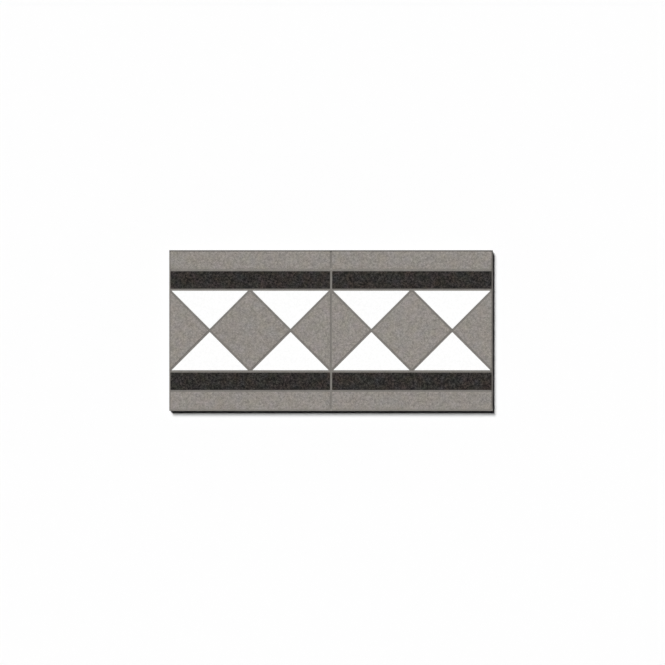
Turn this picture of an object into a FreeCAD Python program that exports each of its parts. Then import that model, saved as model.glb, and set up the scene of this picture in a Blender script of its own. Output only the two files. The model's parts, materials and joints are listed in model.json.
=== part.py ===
import FreeCAD, Part
import os
import Sketcher

# A border panel for a Victorian geometric floor, lying on its back with its face up.
# Small dust-pressed tile pieces stand in a network of cement grout that holds them together.
# The pattern runs along X and has two equal repeats, left and right. Across the border, along Y,
# lie a grey strip, a black strip, a band of grey squares on their corners between white
# triangles, then a black and a grey strip again. Each end of a repeat cuts a square in half.
# The origin is at the middle of the underside. Z points up, out of the face. Units are millimetres.

# Driving dimensions: alias, value and what it measures.
DIMENSIONS = (
    ("square_side", 51.0, "side of a full grey square"),
    ("joint", 2.0, "width of every grout joint between two pieces"),
    ("corner_gap", 2.8, "from a square's corner to the black strip beside it"),
    ("black_strip_width", 16.2, "width of a black strip, across the border"),
    ("grey_strip_width", 16.3, "width of a grey strip, across the border"),
    ("piece_thickness", 9.0, "thickness of every tile piece"),
    ("arris", 0.2, "chamfer along the face and back edges of every piece"),
    ("edge_grout", 1.15, "grout left round the outside of the panel"),
    ("face_recess", 0.4, "how far the grout lies below the pieces' faces"),
    ("back_recess", 0.5, "how far the grout stops above the pieces' backs"),
)

# The repeats from left to right, and the two sides of the border's middle line.
REPEATS = ("left", "right")
SIDES = (("upper", 1), ("lower", -1))

# Sizes and places that follow from the driving dimensions, as formulas for the document.
# The full squares' centres lie on the middle line, two diagonal pitches apart. Half a pitch to
# either side of each centre, the joints between squares and triangles cross.
SIDE = "Dimensions.square_side"
JOINT = "Dimensions.joint"
DIAGONAL_PITCH = f"(({SIDE} + {JOINT}) * sqrt(2))"
CROSSING_TO_CORNER = f"({JOINT} / sqrt(2))"
STRIP_LENGTH = f"(2 * {DIAGONAL_PITCH} - {JOINT})"
BLACK_STRIP_EDGE = f"({SIDE} / sqrt(2) + Dimensions.corner_gap)"
GREY_STRIP_EDGE = f"({BLACK_STRIP_EDGE} + Dimensions.black_strip_width + {JOINT})"
PANEL_EDGE = f"({GREY_STRIP_EDGE} + Dimensions.grey_strip_width + Dimensions.edge_grout)"
PIECES_LENGTH = f"({len(REPEATS)} * {STRIP_LENGTH} + {len(REPEATS) - 1} * {JOINT})"
PANEL_LENGTH = f"({PIECES_LENGTH} + 2 * Dimensions.edge_grout)"
GROUT_DEPTH = "Dimensions.piece_thickness - Dimensions.face_recess - Dimensions.back_recess"
WHITE_HEIGHT = f"({BLACK_STRIP_EDGE} - {JOINT} - {CROSSING_TO_CORNER})"
HALF_SQUARE_HEIGHT = f"({DIAGONAL_PITCH} / 2 - {CROSSING_TO_CORNER} - {JOINT} / 2)"

# The numbers by which a sketch knows its own axes.
HORIZONTAL_AXIS, VERTICAL_AXIS = -1, -2

doc = FreeCAD.newDocument("victorian_border_panel")


def make_dimension_sheet():
    """The spreadsheet that every size in the document is bound to."""
    sheet = doc.addObject("Spreadsheet::Sheet", "Dimensions")
    for row, (alias, value, meaning) in enumerate(DIMENSIONS, start=1):
        sheet.set(f"A{row}", meaning)
        sheet.set(f"B{row}", str(value))
        sheet.setAlias(f"B{row}", alias)
    doc.recompute()


def new_sketch(body):
    """An empty sketch on the body's own XY plane."""
    sketch = body.newObject("Sketcher::SketchObject", f"{body.Name}_outline")
    plane = next(p for p in body.Origin.OriginFeatures if p.Role == "XY_Plane")
    sketch.AttachmentSupport = (plane, [""])
    sketch.MapMode = "FlatFace"
    return sketch


def start_of(line):
    """A line's first point, as a sketch knows it."""
    return line, 1


def end_of(line):
    """A line's last point, as a sketch knows it."""
    return line, 2


def draw_closed_outline(sketch, corners):
    """Line segments from corner to corner, joined end to start."""
    count = len(corners)
    for i, (x, y) in enumerate(corners):
        next_x, next_y = corners[(i + 1) % count]
        line = Part.LineSegment(FreeCAD.Vector(x, y, 0), FreeCAD.Vector(next_x, next_y, 0))
        sketch.addGeometry(line, False)
    for i in range(count):
        following = (i + 1) % count
        sketch.addConstraint(Sketcher.Constraint("Coincident", *end_of(i), *start_of(following)))


def set_size(sketch, name, direction, start, end, formula):
    """Dimensions the way from one point to another, names it and ties it to a formula."""
    value = sketch.evalExpression(formula)
    index = sketch.addConstraint(Sketcher.Constraint(direction, *start, *end, value))
    sketch.renameConstraint(index, name)
    sketch.setExpression(f"Constraints.{name}", formula)


def draw_rectangle(sketch, length, width):
    """A rectangle centred on the sketch's origin."""
    right = sketch.evalExpression(length) / 2
    top = sketch.evalExpression(width) / 2
    draw_closed_outline(sketch, ((-right, -top), (right, -top), (right, top), (-right, top)))
    bottom_line, right_line, top_line, left_line = range(4)
    for line in (bottom_line, top_line):
        sketch.addConstraint(Sketcher.Constraint("Horizontal", line))
    for line in (right_line, left_line):
        sketch.addConstraint(Sketcher.Constraint("Vertical", line))
    bottom_left, bottom_right, top_right = (start_of(line) for line in (bottom_line, right_line, top_line))
    origin = start_of(HORIZONTAL_AXIS)
    sketch.addConstraint(Sketcher.Constraint("Symmetric", *bottom_left, *top_right, *origin))
    set_size(sketch, "length", "DistanceX", bottom_left, bottom_right, length)
    set_size(sketch, "width", "DistanceY", bottom_right, top_right, width)


def draw_right_triangle(sketch, height):
    """A triangle with its right angle on the sketch's origin and its long side above."""
    top = sketch.evalExpression(height)
    draw_closed_outline(sketch, ((0, 0), (top, top), (-top, top)))
    right_angle, top_right, top_left = (start_of(line) for line in range(3))
    origin = start_of(HORIZONTAL_AXIS)
    sketch.addConstraint(Sketcher.Constraint("Coincident", *right_angle, *origin))
    sketch.addConstraint(Sketcher.Constraint("Symmetric", *top_right, *top_left, VERTICAL_AXIS))
    set_size(sketch, "height", "DistanceY", right_angle, top_right, height)
    set_size(sketch, "long_side", "DistanceX", top_left, top_right, f"2 * {height}")


def level_faces(shape):
    """The names of the faces that look straight up or down."""
    return [
        f"Face{number}"
        for number, face in enumerate(shape.Faces, start=1)
        if round(abs(face.normalAt(0, 0).z)) == 1
    ]


def make_piece(label, draw, sizes, x, y, turn):
    """One tile piece: its outline padded to the thickness, with an arris on face and back."""
    body = doc.addObject("PartDesign::Body", label)
    body.Label = label
    sketch = new_sketch(body)
    draw(sketch, *sizes)
    pad = body.newObject("PartDesign::Pad", f"{label}_pad")
    pad.Profile = sketch
    pad.setExpression("Length", "Dimensions.piece_thickness")
    doc.recompute()
    chamfer = body.newObject("PartDesign::Chamfer", f"{label}_arris")
    chamfer.Base = (pad, level_faces(pad.Shape))
    chamfer.setExpression("Size", "Dimensions.arris")
    body.Placement = FreeCAD.Placement(FreeCAD.Vector(), FreeCAD.Rotation(FreeCAD.Vector(0, 0, 1), turn))
    body.setExpression(".Placement.Base.x", x)
    body.setExpression(".Placement.Base.y", y)
    return body


def make_strips(repeat, middle):
    """The two black and two grey strips of one repeat."""
    pieces = []
    for side, sign in SIDES:
        for colour, inner_edge in (("black", BLACK_STRIP_EDGE), ("grey", GREY_STRIP_EDGE)):
            width = f"Dimensions.{colour}_strip_width"
            centre = f"{sign} * ({inner_edge} + {width} / 2)"
            label = f"{repeat}_{colour}_strip_{side}"
            pieces.append(make_piece(label, draw_rectangle, (STRIP_LENGTH, width), middle, centre, 0))
    return pieces


def make_white_triangles(repeat, middle):
    """The four white triangles of one repeat, with their long sides along the black strips."""
    pieces = []
    for side, sign in SIDES:
        for number, across in ((1, -1), (2, 1)):
            x = f"{middle} + {across} * {DIAGONAL_PITCH} / 2"
            y = f"{sign} * {CROSSING_TO_CORNER}"
            turn = 0 if sign > 0 else 180
            label = f"{repeat}_white_triangle_{side}_{number}"
            pieces.append(make_piece(label, draw_right_triangle, (WHITE_HEIGHT,), x, y, turn))
    return pieces


def make_squares(repeat, middle):
    """The full square of one repeat, and the two halves that its ends cut off."""
    full = make_piece(f"{repeat}_grey_square", draw_rectangle, (SIDE, SIDE), middle, "0", 45)
    pieces = [full]
    for number, sign in ((1, -1), (2, 1)):
        x = f"{middle} + {sign} * ({DIAGONAL_PITCH} / 2 + {CROSSING_TO_CORNER})"
        label = f"{repeat}_grey_half_square_{number}"
        pieces.append(make_piece(label, draw_right_triangle, (HALF_SQUARE_HEIGHT,), x, "0", -90 * sign))
    return pieces


def make_grout(pieces):
    """The grout: a slab the size of the panel, less every piece that stands in it."""
    slab = doc.addObject("Part::Box", "grout_slab")
    slab.setExpression("Length", PANEL_LENGTH)
    slab.setExpression("Width", f"2 * {PANEL_EDGE}")
    slab.setExpression("Height", GROUT_DEPTH)
    slab.setExpression(".Placement.Base.x", f"-{PANEL_LENGTH} / 2")
    slab.setExpression(".Placement.Base.y", f"-{PANEL_EDGE}")
    slab.setExpression(".Placement.Base.z", "Dimensions.back_recess")
    all_pieces = doc.addObject("Part::Compound", "all_pieces")
    all_pieces.Links = pieces
    grout = doc.addObject("Part::Cut", "grout")
    grout.Label = "grout"
    grout.Base = slab
    grout.Tool = all_pieces
    return grout


def check_document(parts):
    """Stops on a failed object, or on a part that isn't a valid solid."""
    for thing in doc.Objects:
        if "Invalid" in thing.State or "Error" in thing.State:
            raise RuntimeError(f"{thing.Label} failed to build: {thing.State}")
    for part in parts:
        if part.Shape.isNull() or not part.Shape.isValid() or len(part.Shape.Solids) != 1:
            raise RuntimeError(f"{part.Label} isn't one valid solid")


def export_parts(parts):
    """Writes each part to its own STEP file, named after the part."""
    os.makedirs("parts", exist_ok=True)
    for part in parts:
        part.Shape.exportStep(f"parts/{part.Label}.step")
        print(f"{part.Label}: {part.Shape.Volume:.1f} mm3")


make_dimension_sheet()
tile_pieces = []
for place, repeat_name in enumerate(REPEATS):
    repeat_middle = f"({2 * place + 1 - len(REPEATS)} * {DIAGONAL_PITCH})"
    tile_pieces += make_strips(repeat_name, repeat_middle)
    tile_pieces += make_white_triangles(repeat_name, repeat_middle)
    tile_pieces += make_squares(repeat_name, repeat_middle)
doc.recompute()
parts = tile_pieces + [make_grout(tile_pieces)]
doc.recompute()
check_document(parts)
export_parts(parts)
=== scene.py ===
import json
import math

import bmesh
import bpy
import numpy as np
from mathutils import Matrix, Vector, noise
from mathutils.geometry import delaunay_2d_cdt


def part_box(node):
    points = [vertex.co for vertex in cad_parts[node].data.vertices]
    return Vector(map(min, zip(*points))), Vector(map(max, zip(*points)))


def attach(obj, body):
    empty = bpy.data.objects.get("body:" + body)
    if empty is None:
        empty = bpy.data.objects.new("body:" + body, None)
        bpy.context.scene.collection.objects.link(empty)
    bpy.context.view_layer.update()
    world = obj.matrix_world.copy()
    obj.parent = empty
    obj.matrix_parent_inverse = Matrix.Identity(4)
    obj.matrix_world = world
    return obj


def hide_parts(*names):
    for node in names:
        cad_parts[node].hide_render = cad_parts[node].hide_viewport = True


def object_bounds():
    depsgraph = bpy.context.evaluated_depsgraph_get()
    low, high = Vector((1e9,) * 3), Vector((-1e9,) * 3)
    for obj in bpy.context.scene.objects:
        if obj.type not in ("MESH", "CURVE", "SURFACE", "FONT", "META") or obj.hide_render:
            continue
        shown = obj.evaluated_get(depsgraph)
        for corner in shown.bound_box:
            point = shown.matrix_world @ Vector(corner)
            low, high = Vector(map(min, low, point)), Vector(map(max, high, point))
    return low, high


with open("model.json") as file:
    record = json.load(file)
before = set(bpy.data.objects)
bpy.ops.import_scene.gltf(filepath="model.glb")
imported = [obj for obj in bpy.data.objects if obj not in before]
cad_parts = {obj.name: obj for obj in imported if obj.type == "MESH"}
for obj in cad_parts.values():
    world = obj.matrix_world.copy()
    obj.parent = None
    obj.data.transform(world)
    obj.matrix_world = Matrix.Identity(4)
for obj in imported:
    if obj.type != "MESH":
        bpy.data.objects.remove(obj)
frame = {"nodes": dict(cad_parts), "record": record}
cad_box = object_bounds()

# A border panel of unglazed tile pieces in cement grout, lying on its back and seen from above.
# Every piece gets a mesh of its own here, in its node's place and of the same size: the tile
# pieces with worn arrises, a faintly uneven face and a keyed back, and the grout with a sandy
# top. Lengths are in metres.
MM = 0.001
BODY = "root"
GROUT_NODE = "grout"
SLOTS = {part["node"]: part["material_slot"] for part in frame["record"]["subparts"]}
TILE_NODES = sorted(node for node in SLOTS if node != GROUT_NODE)

# Places in the photograph, in pixels of its 665 x 665 frame.
PHOTO_SIZE = 665
PANEL_LEFT, PANEL_RIGHT = 169.21, 492.92
PANEL_TOP, PANEL_BOTTOM = 250.19, 410.93

# The camera's lens and the width of its sensor, in millimetres.
LENS = 100
SENSOR_WIDTH = 36

# Tile pieces: the rim is the outer strip of the face, which the rings of the mesh follow. Inside
# it the face has a lattice of points, which keeps a margin from it. One more ring runs along the
# sides below the face, and one as far above the back.
EDGE_STEP = 0.6 * MM
FACE_STEP = 2.6 * MM
FACE_MARGIN = 0.6 * FACE_STEP
RIM = 1.5 * MM
SIDE_RING = 1.1 * MM
FACE_ARRIS = 0.2 * MM
BACK_ARRIS = 0.2 * MM
ARRIS_STEPS = 5
CORNER_WEAR = 0.12 * MM
FACE_UNEVENNESS = 0.05 * MM
FACE_WAVE = 28 * MM

# Faces of a mesh that meet at more than this angle have a sharp edge between them.
SHARP_ANGLE = math.radians(38)

# A face arris varies along its edge by these shares of itself, in long and short waves, and is
# wider where a grain is missing: where noise of the grain's size, with a seed of its own, rises
# above a level.
LONG_WAVE, LONG_SHARE = 7 * MM, 0.25
SHORT_WAVE, SHORT_SHARE = 1.3 * MM, 0.18
LOST_GRAIN, LOST_SHARE = 2.1 * MM, 1.6
LOST_LEVEL = 0.5
LOST_SEED = 9

# Each piece has its own noise and lattice, from a seed that goes up in steps from piece to piece.
# How light or dark a piece was fired comes from one row of random draws.
FIRST_SEED, SEED_STEP = 10.0, 3.7
FIRING_SEED = 3

# Grooves that key the back of a piece to its bed.
GROOVE_PITCH = 6.0 * MM
GROOVE_WIDTH = 2.2 * MM
GROOVE_DEPTH = 0.4 * MM
GROOVE_SLOPE = 0.35 * MM
GROOVE_MARGIN = 2.5 * MM
NARROWEST_GROOVE = GROOVE_WIDTH / 4

# Grout: it laps a little into the pieces, so that no crack shows beside them. Its top rises
# towards them, where a ring of points runs close beside each piece. It is uneven from its sand
# and, to a share of that, from wider swells.
GROUT_STEP = 0.55 * MM
GROUT_MARGIN = 0.45 * GROUT_STEP
GROUT_SEED = 5
GROUT_LAP = 0.1 * MM
GROUT_RISE = 0.15 * MM
GROUT_RING = 0.12 * MM
GROUT_UNEVENNESS = 0.03 * MM
SAND_SIZE = 0.9 * MM
SWELL_SIZE, SWELL_SHARE = 4 * MM, 0.6

# The grout's outer walls: rounded at the top, over points at these shares of the rounding, nearly
# straight, and with fine grain and air holes. An air hole opens where noise of its size, with a
# seed of its own, rises above a level.
OUTER_ROUNDING = 0.15 * MM
ROUNDING_STEPS = (0.35, 1.0)
OUTER_WAVE, OUTER_WAVE_LENGTH = 0.02 * MM, 9 * MM
WALL_LEVELS = 12
WALL_GRAIN, WALL_GRAIN_DEPTH = 0.8 * MM, 0.02 * MM
AIR_HOLE, AIR_HOLE_DEPTH = 1.7 * MM, 0.3 * MM
AIR_HOLE_LEVEL = 0.45
AIR_HOLE_SEED = 3.0

# The clay in each material slot. Darkest and lightest are shares of its colour, and the drifts
# are how far its red and its blue wander.
CLAYS = {
    "grey_tile": {
        "name": "grey_clay",
        "colour": (0.2495, 0.2305, 0.2105),
        "darkest": 0.68,
        "lightest": 1.33,
        "red_drift": 0.023,
        "blue_drift": 0.043,
        "roughness": 0.84,
    },
    "black_tile": {
        "name": "black_clay",
        "colour": (0.0217, 0.0189, 0.017),
        "darkest": 0.0,
        "lightest": 2.85,
        "red_drift": 0.16,
        "blue_drift": 0.15,
        "roughness": 0.82,
    },
    "white_tile": {
        "name": "white_clay",
        "colour": (0.902, 0.902, 0.9),
        "darkest": 0.965,
        "lightest": 1.035,
        "red_drift": 0.001,
        "blue_drift": 0.002,
        "roughness": 0.8,
    },
}

# The sizes of the clay's dust and grains, of the mottling over a face and of the drifts. The
# roughness goes up and down with the dust. The tone is how much lighter or darker than its
# fellows a tile piece came out of the kiln; the grout's mesh carries its painted light and shade
# as a tone too.
DUST = 0.25 * MM
GRAIN = 0.45 * MM
MOTTLE = 2.1 * MM
RED_DRIFT = 12 * MM
BLUE_DRIFT = 10 * MM
ROUGHNESS_SPREAD = 0.16
CLAY_BUMP = 0.02 * MM
TONE = "tone"
MIDDLE_TONE = 0.5
TONE_SPREAD = 0.08

# Sanded grout: its colour with the shares at its darkest and lightest, and the sizes of its sand,
# its paste's mottling and its broad patches.
GROUT_COLOUR = (0.19, 0.178, 0.163)
GROUT_DARKEST, GROUT_LIGHTEST = 0.7, 1.3
SAND = 0.35 * MM
PASTE = 0.6 * MM
PATCH = 5 * MM
GROUT_BUMP = 0.05 * MM
GROUT_ROUGHNESS = 0.92

# Clay and grout are matt: little light glances off them.
MATT_SPECULAR = 0.15

# The grout's tone goes from painted shade on its outer walls and the back's outer edge, which
# deepens the shadow on the floor beside the panel, over the joints' middle tone to painted light.
# Its outer rim has painted light and shade of its own along each edge, darker on the upper, right
# and left edges and paler on the lower, and the upper long joint has painted light along the grey
# strips, against the shadow that they cast into it.
WALL_PAINTED_SHADE_TONE = 0.0
PAINTED_LIGHT_TONE = 1.0
WALL_PAINTED_SHADE = 0.3
PAINTED_LIGHT_SHADE = 1.7
LEFT_RIM_PAINTED_SHADE_TONE = 0.43
RIGHT_RIM_PAINTED_SHADE_TONE = 0.3
LOWER_RIM_PAINTED_LIGHT_TONE = 0.75
UPPER_RIM_PAINTED_SHADE_TONE = 0.12
UPPER_JOINT_PAINTED_LIGHT_TONE = 0.9

# The floor is flat, with rings of points at these shares of its radius. Far away it curves up on
# all sides into a low wall, so that low views have no horizon. The wall is too far off to light
# the shadows beside the panel.
FLOOR_RADIUS = 10.0
FLOOR_RINGS = (0.1, 0.4, 1.0)
FLOOR_CURVE = 1.25
FLOOR_WALL_TOP = 1.27
FLOOR_SIDES = 96
CURVE_STEPS = 12
FLOOR_WHITE = (0.9, 0.9, 0.9, 1)

# The lights: how strongly they light the floor together, and each one's share of that, the way
# its light travels and its width in degrees.
FLOOR_LIGHT = 3.43
LIGHTS = (
    ("key_light", 0.71, (0.379, -0.562, -1.0), 17),
    ("second_light", 0.29, (0.272, -0.313, -1.0), 3),
)
FILL_LIGHT = 0.003


def noise_at(x, y, z, size, seed=0.0):
    """Smooth noise from about -1 to 1, with lumps of the given size."""
    return noise.noise(Vector((x / size + seed, y / size - seed, z / size + 2 * seed)))


def noise_over(flat, size, seed=0.0):
    """The same noise at each of many points seen from above."""
    return np.array([noise_at(x, y, 0, size, seed) for x, y in flat])


def outline_of(node):
    """The corners of a tile piece seen from above, counter-clockwise, as an array.
    The vertices between its face and its back are those of its full outline."""
    low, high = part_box(node)
    margin = 0.1 * MM
    decimals = 6
    vertices = frame["nodes"][node].data.vertices
    sides = [v.co for v in vertices if low.z + margin < v.co.z < high.z - margin]
    corners = np.array(sorted({(round(spot.x, decimals), round(spot.y, decimals)) for spot in sides}))
    from_middle = corners - corners.mean(axis=0)
    return corners[np.argsort(np.arctan2(from_middle[:, 1], from_middle[:, 0]))]


def joint_width():
    """The width of the joint between a black strip and the grey strip beside it."""
    black_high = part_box("left_black_strip_upper")[1]
    grey_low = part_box("left_grey_strip_upper")[0]
    return grey_low.y - black_high.y


def inward_normals(corners):
    """The unit normal of each side, pointing into a counter-clockwise outline."""
    along = np.roll(corners, -1, axis=0) - corners
    along /= np.linalg.norm(along, axis=1)[:, None]
    return np.column_stack((-along[:, 1], along[:, 0]))


def inset(corners, distance):
    """The outline with every side moved inwards by the distance, or outwards if it's negative."""
    after = inward_normals(corners)
    before = np.roll(after, 1, axis=0)
    stretch = distance / (1 + np.sum(before * after, axis=1))
    return corners + (before + after) * stretch[:, None]


def side_counts(corners, step):
    """How many steps of about that length each side takes."""
    lengths = np.linalg.norm(np.roll(corners, -1, axis=0) - corners, axis=1)
    return np.maximum(2, np.round(lengths / step).astype(int))


def walk(corners, counts):
    """Points evenly spaced along each side in turn, starting at each corner."""
    following = np.roll(corners, -1, axis=0)
    sides = [
        start + (end - start) * (np.arange(count) / count)[:, None]
        for start, end, count in zip(corners, following, counts)
    ]
    return np.concatenate(sides)


def gap_outside(points, corners):
    """How far each point lies outside a convex outline. It's negative inside."""
    away = -inward_normals(corners)
    return np.max(points @ away.T - np.sum(corners * away, axis=1), axis=1)


def lattice(low, high, step, seed):
    """A triangular lattice of points over a rectangle, each nudged a little at random."""
    nudge = 0.2 * step
    chance = np.random.default_rng(seed)
    rows = np.arange(low[1], high[1], step * math.sqrt(3) / 2)
    columns = np.arange(low[0], high[0], step)
    x, y = np.meshgrid(columns, rows)
    x[1::2] += step / 2
    points = np.column_stack((x.ravel(), y.ravel()))
    return points + chance.uniform(-nudge, nudge, points.shape)


class Shell:
    """The points and faces of a mesh in the making. Points are known by their numbers."""

    def __init__(self):
        self.points = []
        self.faces = []

    def add(self, flat, heights):
        """Adds points, from their places seen from above and their heights."""
        first = len(self.points)
        heights = np.broadcast_to(heights, len(flat))
        self.points += [(x, y, z) for (x, y), z in zip(flat, heights)]
        return list(range(first, len(self.points)))

    def bridge(self, upper, lower):
        """Quads between two rings of as many points."""
        for i in range(len(upper)):
            self.faces.append((upper[i - 1], lower[i - 1], lower[i], upper[i]))

    def fill(self, loops, free=(), holes=()):
        """Triangles inside the closed loops, with free points among them. Holes are convex
        outlines that stay open."""
        numbers = [number for loop in loops for number in loop] + list(free)
        edges, count = [], 0
        for loop in loops:
            edges += [(count + i, count + (i + 1) % len(loop)) for i in range(len(loop))]
            count += len(loop)
        spots = [Vector(self.points[number][:2]) / MM for number in numbers]
        inside_only = 1
        closeness = 1e-4
        _, _, found, sources, _, _ = delaunay_2d_cdt(spots, edges, [], inside_only, closeness)
        triangles = np.array([[numbers[sources[corner][0]] for corner in face] for face in found])
        if len(holes):
            centres = np.array(self.points)[triangles, :2].mean(axis=1)
            clear = np.min([gap_outside(centres, hole) for hole in holes], axis=0)
            triangles = triangles[clear > 0]
        self.faces += triangles.tolist()

    def make_piece(self, name, node, material, tones):
        """A smooth mesh object that rides on the frame in place of a CAD node. Its points carry
        the tones: one for all of them, or one each."""
        mesh = bpy.data.meshes.new(name)
        mesh.from_pydata(self.points, [], self.faces)
        work = bmesh.new()
        work.from_mesh(mesh)
        bmesh.ops.recalc_face_normals(work, faces=work.faces)
        work.to_mesh(mesh)
        work.free()
        mesh.shade_smooth()
        mesh.set_sharp_from_angle(angle=SHARP_ANGLE)
        mesh.materials.append(material)
        carried = mesh.attributes.new(TONE, "FLOAT", "POINT")
        carried.data.foreach_set("value", np.broadcast_to(tones, len(self.points)).astype(float))
        piece = bpy.data.objects.new(name, mesh)
        bpy.context.scene.collection.objects.link(piece)
        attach(piece, BODY)
        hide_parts(node)


def face_dip(flat, seed):
    """How far a tile's pressed face lies below its highest level at each point."""
    return FACE_UNEVENNESS * (0.5 + 0.5 * noise_over(flat, FACE_WAVE, seed))


def arris_size(flat, seed):
    """The size of the face arris at each point of the outline."""
    long = noise_over(flat, LONG_WAVE, seed)
    short = noise_over(flat, SHORT_WAVE, seed)
    lost = np.maximum(0, noise_over(flat, LOST_GRAIN, seed + LOST_SEED) - LOST_LEVEL)
    return FACE_ARRIS * (1 + LONG_SHARE * long + SHORT_SHARE * short + LOST_SHARE * lost)


def clip(corners, origin, direction):
    """The part of a convex outline that lies ahead of a line through origin, across direction."""
    ahead = (corners - origin) @ direction
    kept = []
    for i in range(len(corners)):
        j = (i + 1) % len(corners)
        if ahead[i] >= 0:
            kept.append(corners[i])
        if (ahead[i] >= 0) != (ahead[j] >= 0):
            share = ahead[i] / (ahead[i] - ahead[j])
            kept.append(corners[i] + share * (corners[j] - corners[i]))
    return np.array(kept).reshape(-1, 2)


def groove_outlines(outline):
    """The mouth and the floor of each groove, as outlines seen from above."""
    sides = np.roll(outline, -1, axis=0) - outline
    longest = sides[np.argmax(np.linalg.norm(sides, axis=1))]
    across = np.array((-longest[1], longest[0])) / np.linalg.norm(longest)
    middle = outline.mean(axis=0)
    reach = np.abs((outline - middle) @ across).max()
    count = int(reach / GROOVE_PITCH) + 1
    grooves = []
    for place in range(-count, count + 1):
        centre = middle + across * place * GROOVE_PITCH
        groove = []
        for narrower in (0.0, GROOVE_SLOPE):
            half_width = across * (GROOVE_WIDTH / 2 - narrower)
            strip = clip(inset(outline, GROOVE_MARGIN + narrower), centre - half_width, across)
            if len(strip):
                strip = clip(strip, centre + half_width, -across)
            groove.append(strip)
        if all(len(strip) >= 3 and np.ptp(strip @ across) > NARROWEST_GROOVE for strip in groove):
            grooves.append(groove)
    return grooves


def worn_outline(outline, counts):
    """Points along the outline, with a little worn off each corner."""
    points = walk(outline, counts)
    corner_places = np.concatenate(([0], np.cumsum(counts)[:-1]))
    inwards = outline.mean(axis=0) - outline
    points[corner_places] += CORNER_WEAR * inwards / np.linalg.norm(inwards, axis=1)[:, None]
    return points


def build_tile(node, seed, tone, material):
    """One tile piece: face, worn arris, sides, back arris and keyed back."""
    outline = outline_of(node)
    low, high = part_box(node)
    counts = side_counts(outline, EDGE_STEP)
    outer = worn_outline(outline, counts)
    inner = walk(inset(outline, RIM), counts)
    outer_top, inner_top = (high.z - face_dip(flat, seed) for flat in (outer, inner))
    face_arris = arris_size(outer, seed)
    quarter_turn = np.linspace(0, math.pi / 2, ARRIS_STEPS)
    shell = Shell()

    def ring(insets, heights):
        """Points moved in from the outline by the insets, at the heights."""
        return shell.add(outer + (inner - outer) * np.reshape(insets / RIM, (-1, 1)), heights)

    rings = [ring(RIM, inner_top), ring(RIM / 2, (inner_top + outer_top) / 2)]
    for angle in quarter_turn:
        drop = face_arris * (1 - math.cos(angle))
        rings.append(ring(face_arris * (1 - math.sin(angle)), outer_top - drop))
    rings.append(ring(0.0, high.z - SIDE_RING))
    rings.append(ring(0.0, low.z + SIDE_RING))
    for angle in reversed(quarter_turn):
        rise = BACK_ARRIS * (1 - math.cos(angle))
        rings.append(ring(BACK_ARRIS * (1 - math.sin(angle)), low.z + rise))
    rings.append(ring(RIM, low.z))
    for upper, lower in zip(rings, rings[1:]):
        shell.bridge(upper, lower)

    spots = lattice(outline.min(axis=0), outline.max(axis=0), FACE_STEP, int(seed))
    spots = spots[gap_outside(spots, outline) < -(RIM + FACE_MARGIN)]
    shell.fill([rings[0]], shell.add(spots, high.z - face_dip(spots, seed)))

    back_loops = [rings[-1]]
    for mouth, groove_floor in groove_outlines(outline):
        back_loops.append(shell.add(mouth, low.z))
        back_loops.append(shell.add(groove_floor, low.z + GROOVE_DEPTH))
    shell.fill(back_loops)
    shell.make_piece(f"{node}_tile", node, material, tone)


def grout_top(flat, outlines, outer_box, level):
    """The height of the grout's top: sandy, higher beside the pieces, rounded off at the outside."""
    gaps = np.maximum(0, np.min([gap_outside(flat, outline) for outline in outlines], axis=0))
    across = np.minimum(1, gaps / (joint_width() / 2))
    sand = noise_over(flat, SAND_SIZE)
    uneven = GROUT_UNEVENNESS * (sand + SWELL_SHARE * noise_over(flat, SWELL_SIZE))
    from_edge = np.clip(-gap_outside(flat, outer_box) / OUTER_ROUNDING, 0, 1)
    rounding = OUTER_ROUNDING * (1 - np.sqrt(1 - (1 - from_edge) ** 2))
    return level + GROUT_RISE * (1 - across) ** 2 + uneven - rounding


def wall_pit(x, y, z):
    """How far the outer wall lies inwards at a point, from its grain and its air holes."""
    grain = WALL_GRAIN_DEPTH * (1 + noise_at(x, y, z, WALL_GRAIN))
    hole = max(0.0, noise_at(x, y, z, AIR_HOLE, AIR_HOLE_SEED) - AIR_HOLE_LEVEL)
    return grain + AIR_HOLE_DEPTH * hole


def grout_painted_light_and_shade(flat, low, high):
    """The grout's tone at each point: the joints' middle tone with painted light along the upper long
    joint, and on the outer rim that edge's painted light or shade.
    """
    strip_low, strip_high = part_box("left_grey_strip_upper")
    rim = high.y - strip_high.y
    from_strips = np.abs(flat[:, 1] - strip_low.y)
    nearness = np.clip(1 - from_strips / (joint_width() / 2), 0, 1)
    # Painted light along the upper long joint, against the shadow that the grey strips cast into it.
    tones = MIDDLE_TONE + nearness * (UPPER_JOINT_PAINTED_LIGHT_TONE - MIDDLE_TONE)
    # Painted light and shade along each edge of the outer rim: darker on the upper, right and left
    # edges, paler on the lower.
    for from_edge, tone in (
        (flat[:, 0] - low.x, LEFT_RIM_PAINTED_SHADE_TONE),
        (high.x - flat[:, 0], RIGHT_RIM_PAINTED_SHADE_TONE),
        (flat[:, 1] - low.y, LOWER_RIM_PAINTED_LIGHT_TONE),
        (high.y - flat[:, 1], UPPER_RIM_PAINTED_SHADE_TONE),
    ):
        nearness = np.clip(2 - from_edge / rim, 0, 1)
        tones += nearness * (tone - tones)
    return tones


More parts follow.
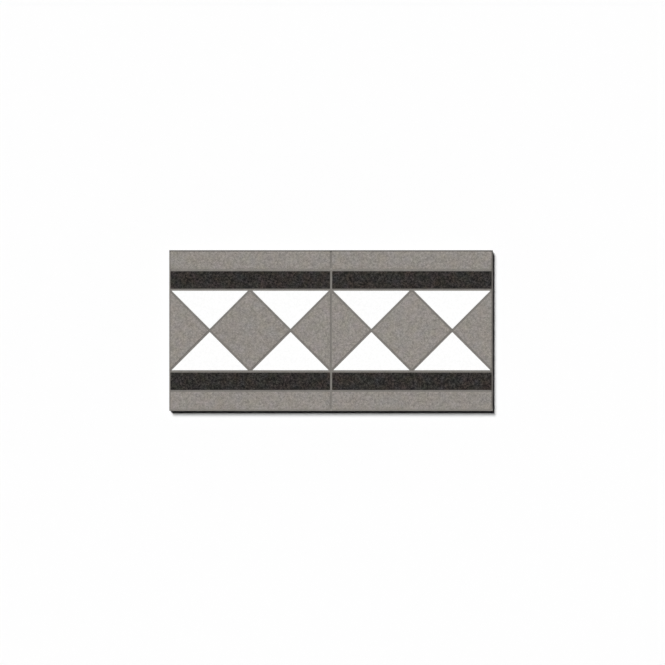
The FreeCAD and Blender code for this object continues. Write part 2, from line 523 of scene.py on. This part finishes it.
def build_grout(material):
    """The grout: its sunk sandy top between the pieces, its flat back and its outer walls."""
    low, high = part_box(GROUT_NODE)
    outlines = [outline_of(node) for node in TILE_NODES]
    outer_box = np.array(((low.x, low.y), (high.x, low.y), (high.x, high.y), (low.x, high.y)))
    counts = side_counts(outer_box, GROUT_STEP)
    outer = walk(outer_box, counts)
    inwards = (walk(inset(outer_box, RIM), counts) - outer) / RIM
    wave = OUTER_WAVE * (0.5 + 0.5 * noise_over(outer, OUTER_WAVE_LENGTH))
    holes = [inset(outline, GROUT_LAP) for outline in outlines]
    loops = [outer + inwards * wave[:, None]]
    loops += [walk(hole, side_counts(hole, GROUT_STEP)) for hole in holes]

    free = [outer + inwards * OUTER_ROUNDING * share for share in ROUNDING_STEPS]
    for outline in outlines:
        beside = inset(outline, -GROUT_RING)
        free.append(walk(beside, side_counts(beside, GROUT_STEP)))
    spots = lattice((low.x, low.y), (high.x, high.y), GROUT_STEP, GROUT_SEED)
    from_pieces = np.min([gap_outside(spots, outline) for outline in outlines], axis=0)
    wanted = from_pieces > GROUT_RING + GROUT_MARGIN
    wanted &= gap_outside(spots, outer_box) < -(OUTER_ROUNDING + GROUT_MARGIN)
    free.append(spots[wanted])

    shell = Shell()
    top_loops = [shell.add(loop, grout_top(loop, outlines, outer_box, high.z)) for loop in loops]
    free = np.concatenate(free)
    shell.fill(top_loops, shell.add(free, grout_top(free, outlines, outer_box, high.z)), holes)
    back_loops = [shell.add(loop, low.z) for loop in loops]
    shell.fill(back_loops, holes=holes)
    for top_loop, back_loop in zip(top_loops[1:], back_loops[1:]):
        shell.bridge(top_loop, back_loop)

    inner_count = len(shell.points)
    upper = top_loops[0]
    rim_heights = np.array([shell.points[number][2] for number in upper])
    for level in range(1, WALL_LEVELS):
        heights = rim_heights + (low.z - rim_heights) * level / WALL_LEVELS
        pits = np.array([wall_pit(x, y, z) for (x, y), z in zip(outer, heights)])
        lower = shell.add(outer + inwards * (wave + pits)[:, None], heights)
        shell.bridge(upper, lower)
        upper = lower
    shell.bridge(upper, back_loops[0])
    tones = grout_painted_light_and_shade(np.array(shell.points)[:, :2], low, high)
    # Painted shade: the outer walls and the back's outer edge take the darkest tone.
    tones[back_loops[0]] = WALL_PAINTED_SHADE_TONE
    tones[inner_count:] = WALL_PAINTED_SHADE_TONE
    shell.make_piece("grout_network", GROUT_NODE, material, tones)


class Nodes:
    """A material's node tree, with short ways to add nodes and links."""

    def __init__(self, name):
        self.material = bpy.data.materials.new(name)
        self.material.use_nodes = True
        self.tree = self.material.node_tree
        self.shader = self.tree.nodes["Principled BSDF"]
        self.place = self.add("ShaderNodeTexCoord").outputs["Object"]

    def add(self, kind, **settings):
        """Adds a node and sets its properties."""
        node = self.tree.nodes.new(kind)
        for setting, value in settings.items():
            setattr(node, setting, value)
        return node

    def link(self, source, target):
        """Feeds a socket from another."""
        self.tree.links.new(source, target)

    def noise(self, size, detail, roughness=0.5):
        """Noise with lumps of the given size, from 0 to 1, and ever finer ones as detail."""
        node = self.add("ShaderNodeTexNoise")
        node.inputs["Scale"].default_value = 1 / size
        node.inputs["Detail"].default_value = detail
        node.inputs["Roughness"].default_value = roughness
        self.link(self.place, node.inputs["Vector"])
        return node.outputs["Fac"]

    def grains(self, size):
        """A random value for each grain of the given size, from 0 to 1. Finer noise makes the
        grains' outlines ragged."""
        times_finer = 3
        finer = self.add("ShaderNodeTexNoise")
        finer.inputs["Scale"].default_value = times_finer / size
        self.link(self.place, finer.inputs["Vector"])
        moved = self.add("ShaderNodeVectorMath", operation="MULTIPLY_ADD")
        self.link(finer.outputs["Color"], moved.inputs[0])
        moved.inputs[1].default_value = (size, size, size)
        self.link(self.place, moved.inputs[2])
        node = self.add("ShaderNodeTexVoronoi")
        node.inputs["Scale"].default_value = 1 / size
        self.link(moved.outputs["Vector"], node.inputs["Vector"])
        split = self.add("ShaderNodeSeparateColor")
        self.link(node.outputs["Color"], split.inputs["Color"])
        return split.outputs["Red"]

    def tone(self):
        """The tone that the piece's mesh carries: for a tile piece its own firing tone, for the grout
        its painted light and shade.
        """
        return self.add("ShaderNodeAttribute", attribute_name=TONE).outputs["Fac"]

    def math(self, operation, first, second):
        """A sum, product or other operation on two sockets or numbers."""
        node = self.add("ShaderNodeMath", operation=operation)
        for socket, value in zip(node.inputs, (first, second)):
            if isinstance(value, (int, float)):
                socket.default_value = value
            else:
                self.link(value, socket)
        return node.outputs["Value"]

    def blend(self, *terms):
        """The sum of (socket, weight) terms that each vary about 0.5, itself about 0.5 too."""
        total = 0.5 - 0.5 * sum(weight for _, weight in terms)
        for socket, weight in terms:
            total = self.math("ADD", self.math("MULTIPLY", socket, weight), total)
        return total

    def ramp(self, value, stops):
        """A colour for each value, through (place, colour) stops."""
        node = self.add("ShaderNodeValToRGB")
        elements = node.color_ramp.elements
        while len(elements) < len(stops):
            elements.new(0.5)
        for element, (place, colour) in zip(elements, stops):
            element.position = place
            element.color = (*colour, 1)
        self.link(value, node.inputs["Fac"])
        return node.outputs["Color"]

    def multiply(self, first, second):
        """The product of two colours."""
        node = self.add("ShaderNodeVectorMath", operation="MULTIPLY")
        self.link(first, node.inputs[0])
        self.link(second, node.inputs[1])
        return node.outputs["Vector"]

    def bump(self, height, distance):
        """Bumps the surface by a height from 0 to 1 that stands for the distance."""
        node = self.add("ShaderNodeBump")
        node.inputs["Distance"].default_value = distance
        self.link(height, node.inputs["Height"])
        self.link(node.outputs["Normal"], self.shader.inputs["Normal"])


def shades(colour, darkest, lightest):
    """Stops from the darkest to the lightest shade of a colour, as shares of it."""
    return [
        (place, tuple(channel * share for channel in colour))
        for place, share in ((0.0, darkest), (0.5, 1.0), (1.0, lightest))
    ]


def clay_material(name, colour, darkest, lightest, red_drift, blue_drift, roughness):
    """Unglazed fired clay: grains pressed together, in many near shades of one colour, whose
    red and blue shares drift slowly."""
    nodes = Nodes(name)
    dust = nodes.noise(DUST, detail=2)
    grains = nodes.grains(GRAIN)
    mottle = nodes.noise(MOTTLE, detail=4, roughness=0.7)
    level = nodes.blend((mottle, 2.3), (grains, 0.75), (dust, 0.4), (nodes.tone(), 0.4))
    base = nodes.ramp(level, shades(colour, darkest, lightest))
    noise_low, noise_high = 0.25, 0.75
    red = ((noise_low, (1 - red_drift, 1.0, 1.0)), (noise_high, (1 + red_drift, 1.0, 1.0)))
    blue = ((noise_low, (1.0, 1.0, 1 - blue_drift)), (noise_high, (1.0, 1.0, 1 + blue_drift)))
    for size, tints in ((RED_DRIFT, red), (BLUE_DRIFT, blue)):
        base = nodes.multiply(base, nodes.ramp(nodes.noise(size, detail=1), tints))
    nodes.link(base, nodes.shader.inputs["Base Color"])
    dusty = nodes.math("MULTIPLY", dust, ROUGHNESS_SPREAD)
    rough = nodes.math("ADD", dusty, roughness - ROUGHNESS_SPREAD / 2)
    nodes.link(rough, nodes.shader.inputs["Roughness"])
    nodes.shader.inputs["Specular IOR Level"].default_value = MATT_SPECULAR
    nodes.bump(nodes.blend((grains, 0.4), (dust, 0.6)), CLAY_BUMP)
    return nodes.material


def grout_material():
    """Sanded cement: fine sand in grey paste, with painted light and shade from the tone its mesh
    carries.
    """
    nodes = Nodes("sanded_grout")
    sand = nodes.grains(SAND)
    paste = nodes.noise(PASTE, detail=3, roughness=0.6)
    patches = nodes.noise(PATCH, detail=2)
    level = nodes.blend((sand, 0.5), (paste, 0.9), (patches, 0.6))
    colour = nodes.ramp(level, shades(GROUT_COLOUR, GROUT_DARKEST, GROUT_LIGHTEST))
    # Painted light and shade: the mesh's tone darkens the outer walls and rim edges and pales the
    # upper long joint.
    painted_light_and_shade_stops = ((WALL_PAINTED_SHADE_TONE, WALL_PAINTED_SHADE), (MIDDLE_TONE, 1.0), (PAINTED_LIGHT_TONE, PAINTED_LIGHT_SHADE))
    painted_light_and_shade = nodes.ramp(nodes.tone(), [(tone, (shade, shade, shade)) for tone, shade in painted_light_and_shade_stops])
    nodes.link(nodes.multiply(colour, painted_light_and_shade), nodes.shader.inputs["Base Color"])
    nodes.shader.inputs["Roughness"].default_value = GROUT_ROUGHNESS
    nodes.shader.inputs["Specular IOR Level"].default_value = MATT_SPECULAR
    nodes.bump(nodes.blend((sand, 0.5), (paste, 0.5)), GROUT_BUMP)
    return nodes.material


def add_floor():
    """A plain pale floor with its curved wall, turned about the panel's middle."""
    profile = [(FLOOR_RADIUS * share, 0.0) for share in FLOOR_RINGS]
    for step in range(1, CURVE_STEPS + 1):
        angle = math.pi / 2 * step / CURVE_STEPS
        radius = FLOOR_RADIUS + FLOOR_CURVE * math.sin(angle)
        profile.append((radius, FLOOR_CURVE * (1 - math.cos(angle))))
    profile.append((FLOOR_RADIUS + FLOOR_CURVE, FLOOR_WALL_TOP))
    turns = 2 * math.pi * np.arange(FLOOR_SIDES) / FLOOR_SIDES
    circle = np.column_stack((np.cos(turns), np.sin(turns)))
    shell = Shell()
    rings = [shell.add(circle * radius, z) for radius, z in profile]
    for inner, outer in zip(rings, rings[1:]):
        shell.bridge(inner, outer)
    shell.faces.append(rings[0])
    mesh = bpy.data.meshes.new("floor")
    mesh.from_pydata(shell.points, [], shell.faces)
    mesh.shade_smooth()
    nodes = Nodes("pale_floor")
    nodes.shader.inputs["Base Color"].default_value = FLOOR_WHITE
    nodes.shader.inputs["Roughness"].default_value = 1.0
    nodes.shader.inputs["Specular IOR Level"].default_value = 0.0
    mesh.materials.append(nodes.material)
    floor = bpy.data.objects.new("floor", mesh)
    bpy.context.scene.collection.objects.link(floor)


def add_light(name, share, travel, width_degrees):
    """A soft distant light that gives its share of the light on the floor."""
    way = Vector(travel)
    lamp = bpy.data.lights.new(name, "SUN")
    lamp.angle = math.radians(width_degrees)
    lamp.energy = FLOOR_LIGHT * share * way.length / abs(way.z)
    light = bpy.data.objects.new(name, lamp)
    light.rotation_mode = "QUATERNION"
    light.rotation_quaternion = way.to_track_quat("-Z", "Y")
    bpy.context.scene.collection.objects.link(light)


def add_fill():
    """A faint even light from all sides."""
    world = bpy.data.worlds.new("studio")
    world.use_nodes = True
    background = world.node_tree.nodes["Background"]
    background.inputs["Color"].default_value = (1, 1, 1, 1)
    background.inputs["Strength"].default_value = FILL_LIGHT
    bpy.context.scene.world = world


def add_camera():
    """Looks straight down from where the photograph was framed, with the same edges in view."""
    low, high = cad_box
    metres_per_pixel = (high.x - low.x) / (PANEL_RIGHT - PANEL_LEFT)
    camera_data = bpy.data.cameras.new("camera")
    camera_data.lens = LENS
    camera_data.sensor_width = SENSOR_WIDTH
    camera = bpy.data.objects.new("camera", camera_data)
    width_shown = PHOTO_SIZE * metres_per_pixel
    distance = width_shown * LENS / SENSOR_WIDTH
    right = (PHOTO_SIZE - PANEL_LEFT - PANEL_RIGHT) / 2 * metres_per_pixel
    down = (PHOTO_SIZE - PANEL_TOP - PANEL_BOTTOM) / 2 * metres_per_pixel
    camera.location = ((low.x + high.x) / 2 + right, (low.y + high.y) / 2 - down, high.z + distance)
    bpy.context.scene.collection.objects.link(camera)
    bpy.context.scene.camera = camera


add_camera()
clay = {slot: clay_material(**values) for slot, values in CLAYS.items()}
firing = np.random.default_rng(FIRING_SEED)
for number, tile_node in enumerate(TILE_NODES, start=1):
    piece_tone = MIDDLE_TONE + firing.uniform(-TONE_SPREAD, TONE_SPREAD)
    build_tile(tile_node, FIRST_SEED + SEED_STEP * number, piece_tone, clay[SLOTS[tile_node]])
build_grout(grout_material())
add_floor()
for light_values in LIGHTS:
    add_light(*light_values)
add_fill()
bpy.context.scene.view_settings.view_transform = "Standard"
